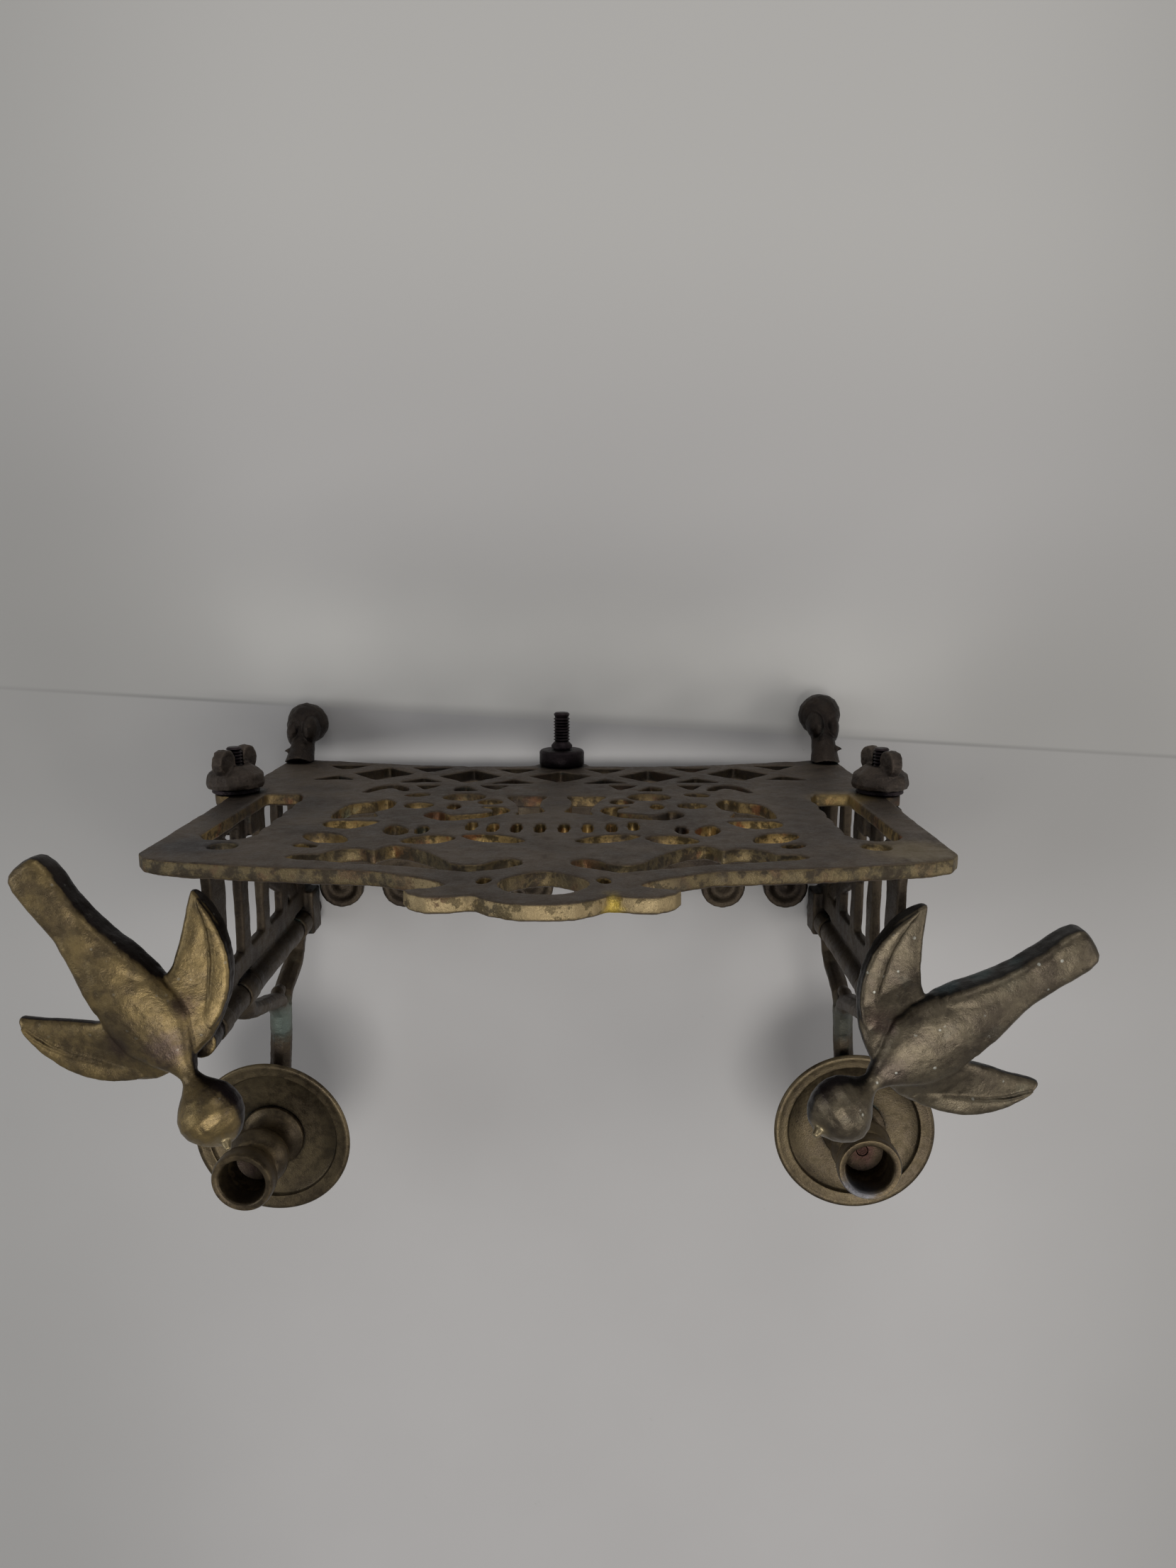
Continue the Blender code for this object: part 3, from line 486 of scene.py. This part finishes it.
for hand in ("left", "right"):
    low, high = (Vector(v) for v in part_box(f"hinge_pin_{hand}"))
    at = ((low.x + high.x) / 2, (low.y + high.y) / 2, 0)
    pin = turned(f"pin_{hand}", [
        (0, 0.007), (0.003, 0.007), (0.003, 0.1474), (0.0047, 0.1474), (0.005, 0.1477), (0.005, 0.1491),
        (0.0047, 0.1494), (0.003, 0.1494), (0.003, 0.1555), (0.0026, 0.156), (0, 0.156)], 32, at)
    dress(pin, steel_finish, "stand", "dark_steel", f"hinge_pin_{hand}")
    bloom = ((at[0] - home.x, -0.113, 0.053), 0.014, (0.26, 0.33, 0.29), 0.6 if hand == "left" else 0.2)
    arm_finish = patina(
        f"bracket_patina_{hand}", (0.095, 0.072, 0.046), (0.046, 0.034, 0.025), (0.007, 0.005, 0.004),
        rough=(0.4, 0.6), wear=0.8, green=0.3, stains_and_painted_light=[bloom])
    arm = casting(f"candle_bracket_{hand}", f"forked_arm_{hand}", 0.0005, soften=5, uneven=0.0005, lump=0.007,
                  keep=0.7)
    dress(arm, arm_finish, f"{hand}_arm", "aged_bronze", f"candle_bracket_{hand}")


# ---- Drip pans, nozzles and screws ----------------------------------------------------------
# Each arm ends in a spun brass pan with a turned nozzle on it, held by a screw from below, and all
# three lean a little together. Olive brown, yellower at the lips, with copper brown at the bottom
# of the socket, darkened further as painted shade. Heights in the profiles are from the underside
# of the pan, which is at seat.

pan_finish = patina("pan_brass", (0.11, 0.083, 0.045), (0.058, 0.043, 0.026), (0.01, 0.007, 0.005),
                    rough=(0.3, 0.5), wear=0.8, pits=0.45, hollow=0.006, green=0.1, blotch=0.03)
leans = {"left": (4.5, (0.42, -0.9, 0)), "right": (4.2, (-0.75, -0.66, 0))}
seat, rim, base, top = 0.05, 0.0355, 0.0039, 0.0436
for hand in ("left", "right"):
    low, high = (Vector(v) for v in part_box(f"pan_screw_{hand}"))
    lean = Matrix.Rotation(radians(leans[hand][0]), 4, Vector(leans[hand][1]))
    up = lean @ Vector((0, 0, 1))
    middle = (low + high) / 2 + up * (seat - (low.z + high.z) / 2) / up.z
    stack = Matrix.Translation((middle.x, middle.y, seat)) @ lean
    pan = turned(f"pan_{hand}", [
        (0.0026, 0), (0.012, 0), (0.02, 0.0004), (0.78 * rim, 0.0014), (0.9 * rim, 0.0026),
        (rim - 0.0012, 0.0044), (rim - 0.0003, 0.0052), (rim, 0.006), (rim - 0.0004, 0.0067),
        (rim - 0.0012, 0.007), (rim - 0.0024, 0.0068), (0.87 * rim, 0.0061), (0.845 * rim, 0.0062),
        (0.83 * rim, 0.006), (0.815 * rim, 0.0046), (0.8 * rim, 0.0042), (0.6 * rim, 0.0038),
        (0.45 * rim, 0.0036), (0.0026, 0.0036)], 128)
    pan.data.transform(stack)
    dress(pan, pan_finish, f"{hand}_arm", "worn_brass", f"drip_pan_{hand}")
    nozzle = turned(f"nozzle_{hand}", [
        (0.0026, base), (0.0137, base), (0.014, base + 0.0003), (0.014, base + 0.0016),
        (0.0136, base + 0.0022), (0.0118, base + 0.0028), (0.0104, base + 0.0042),
        (0.0089, base + 0.0064), (0.0084, base + 0.009), (0.0087, base + 0.011),
        (0.0098, base + 0.0132), (0.0116, base + 0.015), (0.0127, base + 0.0166),
        (0.0131, base + 0.018), (0.013, base + 0.0194), (0.0122, base + 0.021),
        (0.0108, base + 0.0226), (0.0098, base + 0.0238), (0.0094, base + 0.0252),
        (0.0097, base + 0.027), (0.0106, base + 0.029), (0.0121, base + 0.031),
        (0.0131, base + 0.0326), (0.0133, top - 0.0042), (0.0133, top - 0.0018),
        (0.0131, top - 0.0007), (0.0126, top), (0.0108, top), (0.0102, top - 0.0004),
        (0.0098, top - 0.0012), (0.0096, top - 0.003), (0.0094, top - 0.0155), (0.0086, top - 0.0172),
        (0.006, top - 0.018), (0.0026, top - 0.018)], 96)
    nozzle.data.transform(stack)
    # The bottom of each socket is copper brown and partly painted shade, darker than the copper.
    bottom = stack @ Vector((0, 0, 0.0256)) - home
    stains_and_painted_light = [(bottom, 0.0085, (0.042, 0.018, 0.013) if hand == "right" else (0.03, 0.018, 0.015), 0.95)]
    if hand == "right":
        stains_and_painted_light += [(stack @ Vector((-0.004, -0.008, 0.0436)) - home, 0.011, (0.12, 0.135, 0.17), 0.6)]
    nozzle_finish = patina(
        f"nozzle_brass_{hand}", (0.125, 0.092, 0.05), (0.06, 0.044, 0.027), (0.012, 0.007, 0.005),
        rough=(0.3, 0.5), wear=0.8, pits=0.45, hollow=0.01, stains_and_painted_light=stains_and_painted_light)
    dress(nozzle, nozzle_finish, f"{hand}_arm", "worn_brass", f"candle_nozzle_{hand}")
    screw = turned(f"screw_{hand}", [(0, -0.014), (0.0036, -0.014), (0.0048, -0.0134), (0.005, -0.0128),
                                     (0.005, -0.0108), (0.0022, -0.0108), (0.0022, 0.024),
                                     (0.0024, 0.0246), (0.0022, 0.0253), (0, 0.0254)], 32)
    screw.data.transform(stack)
    copper_finish = patina(
        f"screw_copper_{hand}", (0.05, 0.022, 0.016), (0.034, 0.015, 0.011), (0.012, 0.006, 0.005),
        rough=(0.35, 0.5), wear=0.4)
    dress(screw, copper_finish, f"{hand}_arm", "dark_steel", f"pan_screw_{hand}")


# ---- Birds ----------------------------------------------------------------------------------
# A swallow, cast solid, turns on top of each hinge pin: domed back, bar tail with a round end and
# steep flanks darkened with painted shade, swept wings with a raised leading edge, thin neck and a
# drop-shaped head with painted shade on one side and a painted highlight on its beak. The left one
# is golden, the right one greyer with verdigris along its tail.

mm = 0.001


def loft(name, rings, count, square):
    """A closed form drawn through rings, each (centre, half sizes) in millimetres.

    The half size along the run of the form is given as 0, and square is 2 for round rings and
    more for squarer ones.
    """
    bpy.ops.object.select_all(action="DESELECT")
    bpy.ops.mesh.primitive_circle_add(vertices=count, radius=1, fill_type="NGON")
    piece = bpy.context.object
    piece.name = piece.data.name = name
    rings = [([c * mm for c in centre], [half * mm for half in size]) for centre, size in rings]
    centre, size = rings[0]
    for i, vert in enumerate(piece.data.vertices):
        a = 2 * pi * i / count
        u, v = (abs(f(a)) ** (2 / square) * (1 if f(a) >= 0 else -1) for f in (cos, sin))
        vert.co = (u, 0, v) if size[0] else (0, u, v)
    bpy.ops.object.mode_set(mode="EDIT")
    bpy.ops.mesh.select_all(action="SELECT")
    bpy.ops.transform.resize(value=[half or 1 for half in size])
    bpy.ops.transform.translate(value=centre)
    for (last, narrow), (centre, size) in zip(rings, rings[1:]):
        step = [new - old for new, old in zip(centre, last)]
        grow = [new / old if old else 1 for new, old in zip(size, narrow)]
        bpy.ops.mesh.extrude_region_move(TRANSFORM_OT_translate={"value": step})
        bpy.ops.transform.resize(value=grow, center_override=centre)
    bpy.ops.mesh.select_all(action="SELECT")
    bpy.ops.mesh.normals_make_consistent(inside=False)
    bpy.ops.object.mode_set(mode="OBJECT")
    return piece


def along(stations):
    """Rings up the length of a bird from (y, half width, middle height, half height) stations."""
    return [((0, y, m), (w, 0, h)) for y, w, m, h in stations]


perch = 0.158
bird_tints = {
    "left": dict(worn=(0.23, 0.165, 0.07), mid=(0.11, 0.08, 0.043), deep=(0.013, 0.009, 0.008)),
    "right": dict(worn=(0.15, 0.122, 0.08), mid=(0.078, 0.061, 0.043), deep=(0.012, 0.01, 0.009)),
}
# Colours of painted shade for the steep flanks of each bird.
flank_shade_of = {"left": (0.012, 0.008, 0.008), "right": (0.018, 0.017, 0.016)}
headings = {"left": 36.5, "right": -56.5}
shifts = {"left": (-5.5 * mm, 12 * mm, 0), "right": (0.5 * mm, 0.5 * mm, 0)}
drops = {"left": 3, "right": 6}


def sag(x, hand):
    """How far a wing has sunk below the back at this distance from the middle, in millimetres."""
    return drops[hand] * min(1, max(0, (x - 8) / 14)) + 0.08 * max(0, x - 12)


for hand in ("left", "right"):
    trunk = loft(f"swallow_{hand}", along([
        (72, 2.8, 2.6, 3.4), (71.2, 5.4, 2.8, 4.8), (69.6, 6.9, 3, 5.6), (66, 7.7, 3.1, 6.1),
        (61, 7.6, 3.2, 6.4), (54, 7.2, 3.3, 6.6), (46, 7.2, 3.4, 6.8), (39, 8, 3.6, 7.2),
        (32, 9.6, 3.8, 7.6), (25, 11.4, 4, 7.8), (18, 12.6, 4, 7.6), (10, 12, 4, 7), (4, 10, 4, 6),
        (0, 7, 4, 4)]), 40, 4)
    back = loft("back", along([
        (40, 4, 4, 6.4), (32, 7, 4.2, 7.6), (24, 10.4, 4.4, 8.2), (16, 13.4, 4.5, 8.6), (8, 14.6, 4.6, 8.6),
        (0, 13.8, 4.8, 8.2), (-6, 11, 5.2, 7.4), (-10, 8, 6, 6.2), (-13, 5.6, 7, 5), (-15.4, 4.3, 7.9, 4.3),
        (-17.5, 3.4, 8.9, 3.7)]), 32, 2.3)
    skull = loft("skull", along([
        (-14, 3.3, 7.2, 3.0), (-16.5, 3.3, 8.6, 3.4), (-19, 3.4, 10.2, 3.6), (-21.4, 5.0, 12, 4.8),
        (-24.2, 7.9, 13.6, 6.9), (-27.2, 10.3, 14.6, 8.6), (-30.6, 11.4, 15, 9.4), (-34, 11.2, 15, 9.2),
        (-37.4, 9.8, 14.8, 8), (-40.4, 7.4, 14.6, 6.2), (-42.8, 4.4, 14.6, 3.8), (-43.8, 2, 14.6, 2),
    ]), 28, 2.1)
    shapes = [back, skull]
    for side in (-1, 1):
        wing = [(0, -0.5, 13.5), (6, -0.5, 13.5), (12, 0.2, 13.2), (17, 2.1, 12.9), (21, 4.7, 13.1),
                (25, 7.7, 13.3), (28, 10.2, 13.2), (31, 12.9, 12.9), (34, 16.2, 12.2), (36.6, 19.6, 11),
                (38.2, 22.3, 9.3), (39.2, 23.7, 7.1), (39.8, 24.2, 3.2)]
        shapes.append(loft("wing", [((side * x, y, 5.2 - sag(x, hand)), (0, c, 3.9 - 0.02 * x))
                                    for x, y, c in wing], 20, 3.2))
        band = [(15, -7.6, 2.2, 0.5), (18, -6.2, 3, 1), (21.5, -3.8, 3.8, 1.5), (25, -0.6, 4.6, 1.8),
                (28.6, 3, 5.2, 2), (32, 7.2, 5.6, 2.1), (35, 12, 6, 2.1), (37, 17, 6.4, 2.1),
                (38.4, 21.6, 5.8, 2), (39.2, 25, 3.6, 1.6)]
        shapes.append(loft("band", [((side * x, y, 8.2 - sag(x, hand)), (0, c, t)) for x, y, c, t in band],
                           16, 3.2))
    bpy.ops.object.select_all(action="DESELECT")
    bpy.ops.mesh.primitive_cone_add(vertices=20, radius1=3 * mm, radius2=1.1 * mm, depth=7 * mm,
                                    location=(0, -41.6 * mm, 19 * mm), rotation=(radians(50), 0, 0))
    shapes.append(bpy.context.object)
    pick(trunk, *shapes)
    bpy.ops.object.transform_apply(location=True, rotation=True, scale=True)
    bpy.ops.object.join()
    shorter = Matrix.Diagonal((1, 0.97 if hand == "right" else 1, 1, 1))
    trunk.data.transform(Matrix.Translation(shifts[hand]) @ shorter)
    bpy.ops.object.select_all(action="DESELECT")
    bpy.ops.mesh.primitive_cylinder_add(vertices=32, radius=5.6 * mm, depth=9 * mm,
                                        location=(0, 0, -3.4 * mm))
    bpy.ops.object.transform_apply(location=True, rotation=True, scale=True)
    pick(trunk, bpy.context.object)
    bpy.ops.object.join()
    fuse(trunk, 0.0005, soften=4, uneven=0.0008, lump=0.009)
    low, high = (Vector(v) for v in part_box(f"hinge_pin_{hand}"))
    pin = Vector(((low.x + high.x) / 2, (low.y + high.y) / 2, perch))
    turn = Matrix.Translation(pin) @ Matrix.Rotation(radians(headings[hand]), 4, "Z")
    trunk.data.transform(turn)
    # Painted shade on one side of the head and a painted highlight on the beak; the other spots are dark,
    # brown and green patches.
    spots = [((9 if hand == "left" else -8, -30, 14), 0.009, (0.02, 0.013, 0.016), 0.9),
             ((0, -42, 20), 0.005, (0.3, 0.24, 0.14), 0.8)]
    if hand == "left":
        spots += [((-14, 4, 9), 0.007, (0.05, 0.03, 0.026), 0.7),
                  ((14, 2, 9), 0.006, (0.05, 0.03, 0.026), 0.7),
                  ((0, -6, 12), 0.009, (0.075, 0.05, 0.05), 0.6)]
    else:
        spots += [((-16, -4, 8), 0.008, (0.07, 0.045, 0.036), 0.8),
                  ((0, -10, 12), 0.008, (0.07, 0.052, 0.042), 0.7),
                  ((-13, 21, 2), 0.007, (0.06, 0.1, 0.11), 0.75),
                  ((-9.5, 33, 2), 0.006, (0.07, 0.1, 0.1), 0.7),
                  ((-8, 45, 3), 0.004, (0.06, 0.09, 0.09), 0.6),
                  ((0, 70, 9), 0.006, (0.025, 0.02, 0.018), 0.6)]
    stains_and_painted_light = [(turn @ (Vector(at) * mm + Vector(shifts[hand])) - home, *rest) for at, *rest in spots]
    finish = patina(f"swallow_brass_{hand}", rough=(0.3, 0.48), wear=0.6, hollow=0.007, pits=0.5, blotch=0.02,
                    green=0.1 if hand == "left" else 0.25, specks=0.2 if hand == "left" else 0.7,
                    flank_shade=flank_shade_of[hand], stains_and_painted_light=stains_and_painted_light, **bird_tints[hand])
    dress(trunk, finish, f"{hand}_bird", "worn_brass", f"bird_{hand}")
